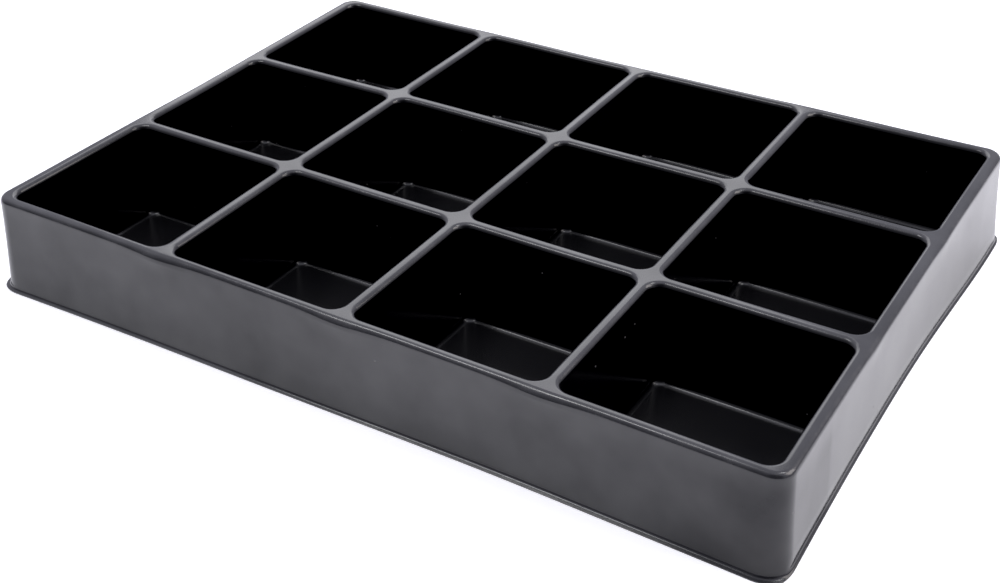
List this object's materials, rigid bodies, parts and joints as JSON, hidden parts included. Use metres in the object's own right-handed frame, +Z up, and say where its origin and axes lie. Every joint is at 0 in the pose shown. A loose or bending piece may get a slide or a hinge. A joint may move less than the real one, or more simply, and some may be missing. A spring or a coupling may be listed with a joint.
{
  "type": "plug tray",
  "caption": "Rectangular black vacuum-formed nursery tray with a grid of square drafted pockets, narrow ribs, a rounded rim and a flared skirt.",
  "frame": {"origin": "centre of the base, on the surface that the foot stands on", "axes": "+X along the long side, +Y from front to back, +Z up, out of the pockets"},
  "size_m": [0.4, 0.29, 0.0475],
  "materials": {
    "black_polystyrene": "satin black, as vacuum-formed"
  },
  "bodies": {
    "root": {"cross_rib1_row1": "black_polystyrene", "cross_rib1_row2": "black_polystyrene", "cross_rib1_row3": "black_polystyrene", "cross_rib2_row1": "black_polystyrene", "cross_rib2_row2": "black_polystyrene", "cross_rib2_row3": "black_polystyrene", "cross_rib3_row1": "black_polystyrene", "cross_rib3_row2": "black_polystyrene", "cross_rib3_row3": "black_polystyrene", "long_rib1_col1": "black_polystyrene", "long_rib1_col2": "black_polystyrene", "long_rib1_col3": "black_polystyrene", "long_rib1_col4": "black_polystyrene", "long_rib2_col1": "black_polystyrene", "long_rib2_col2": "black_polystyrene", "long_rib2_col3": "black_polystyrene", "long_rib2_col4": "black_polystyrene", "pocket_row1_col1": "black_polystyrene", "pocket_row1_col2": "black_polystyrene", "pocket_row1_col3": "black_polystyrene", "pocket_row1_col4": "black_polystyrene", "pocket_row2_col1": "black_polystyrene", "pocket_row2_col2": "black_polystyrene", "pocket_row2_col3": "black_polystyrene", "pocket_row2_col4": "black_polystyrene", "pocket_row3_col1": "black_polystyrene", "pocket_row3_col2": "black_polystyrene", "pocket_row3_col3": "black_polystyrene", "pocket_row3_col4": "black_polystyrene", "rib_junction1_1": "black_polystyrene", "rib_junction1_2": "black_polystyrene", "rib_junction1_3": "black_polystyrene", "rib_junction2_1": "black_polystyrene", "rib_junction2_2": "black_polystyrene", "rib_junction2_3": "black_polystyrene", "rim_back": "black_polystyrene", "rim_corner_back_left": "black_polystyrene", "rim_corner_back_right": "black_polystyrene", "rim_corner_front_left": "black_polystyrene", "rim_corner_front_right": "black_polystyrene", "rim_front": "black_polystyrene", "rim_left": "black_polystyrene", "rim_right": "black_polystyrene", "skirt_back": "black_polystyrene", "skirt_corner_back_left": "black_polystyrene", "skirt_corner_back_right": "black_polystyrene", "skirt_corner_front_left": "black_polystyrene", "skirt_corner_front_right": "black_polystyrene", "skirt_front": "black_polystyrene", "skirt_left": "black_polystyrene", "skirt_right": "black_polystyrene"}
  },
  "joints": []
}
